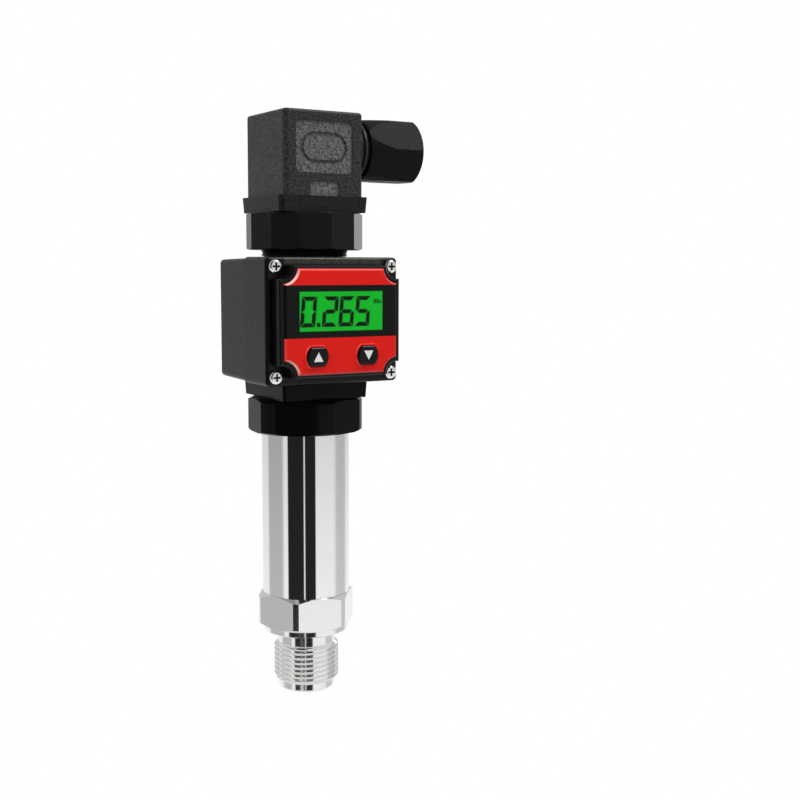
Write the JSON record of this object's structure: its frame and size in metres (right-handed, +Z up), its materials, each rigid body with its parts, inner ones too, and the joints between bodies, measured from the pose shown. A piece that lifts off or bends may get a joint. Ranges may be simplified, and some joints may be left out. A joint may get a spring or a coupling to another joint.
{
  "type": "pressure transmitter",
  "caption": "Steel pressure transmitter with a swivelling two-key digital display and a square cable connector with gland.",
  "frame": {"origin": "centre of the pressure port's mouth on the thread's end face", "axes": "+Z up the axis towards the connector, the display faces -Y, the cable gland points to +X"},
  "size_m": [0.0586, 0.0424, 0.1756],
  "materials": {
    "stainless": "turned",
    "polished_steel": "polished",
    "screw_steel": "bright",
    "brass": "satin",
    "black_plastic": "fine texture",
    "collar_plastic": "satin",
    "case_plastic": "fine texture",
    "key_plastic": "glossy",
    "red_panel": "glossy",
    "lens": "clear",
    "lcd": "lit green",
    "light_guide": "milky",
    "rubber": "matt",
    "board": "lacquered",
    "chips": "matt",
    "insulator": "matt",
    "contact_metal": "tinned"
  },
  "bodies": {
    "transmitter": {"process_fitting": "stainless", "housing_tube": "polished_steel", "cell_diaphragm": "stainless", "sensor_cell": "stainless", "cell_o_ring": "rubber", "cell_ring": "stainless", "amplifier_board": "board", "amplifier_parts": "chips", "sensor_ribbon": "insulator", "output_leads": "rubber", "lower_collar": "collar_plastic", "lower_pin_base": "black_plastic", "base_o_ring": "rubber", "thread_insert": "brass", "lower_pins": "contact_metal", "lower_gasket": "rubber", "lower_socket": "case_plastic", "lower_block": "insulator", "lower_contacts": "contact_metal", "lower_snap_ring": "stainless", "upper_snap_ring": "stainless", "spindle": "stainless", "upper_base": "collar_plastic", "upper_pins": "contact_metal", "connector_gasket": "rubber", "connector_housing": "black_plastic", "terminal_block": "insulator", "terminal_contacts": "contact_metal", "terminal_screws": "screw_steel", "fixing_screw": "screw_steel", "screw_seal": "rubber", "gland_grommet": "rubber"},
    "display_head": {"display_case": "case_plastic", "front_cover": "case_plastic", "cover_gasket": "rubber", "cover_screws": "screw_steel", "fascia_panel": "red_panel", "window_lens": "lens", "lcd_glass": "lcd", "backlight": "light_guide", "zebra_strips": "rubber", "display_board": "board", "board_parts": "chips", "key_switches": "chips"},
    "up_key": {"up_button": "key_plastic", "up_plunger": "key_plastic"},
    "down_key": {"down_button": "key_plastic", "down_plunger": "key_plastic"},
    "washer": {"gland_washer": "stainless"},
    "nut": {"gland_nut": "black_plastic"}
  },
  "joints": [
    {"name": "display_turn", "type": "hinge", "parent": "transmitter", "child": "display_head", "pos_m": [0, 0, 0.1148], "axis": [0, 0, 1], "range_deg": [-165, 165]},
    {"name": "up_press", "type": "slide", "parent": "display_head", "child": "up_key", "axis": [0, 1, 0], "range_m": [0, 0.0005], "stiffness_N_per_m": 1200, "springref_m": -0.0005},
    {"name": "down_press", "type": "slide", "parent": "display_head", "child": "down_key", "axis": [0, 1, 0], "range_m": [0, 0.0005], "stiffness_N_per_m": 1200, "springref_m": -0.0005},
    {"name": "gland_travel", "type": "slide", "parent": "transmitter", "child": "washer", "axis": [1, 0, 0], "range_m": [0, 0.0075]},
    {"name": "gland_turn", "type": "hinge", "parent": "washer", "child": "nut", "pos_m": [0.0275, 0, 0.1659], "axis": [1, 0, 0], "range_deg": [0, 1800]}
  ],
  "couplings": [
    {"joint": "gland_turn", "follows": "gland_travel", "rad_per_m": 4188.8}
  ]
}
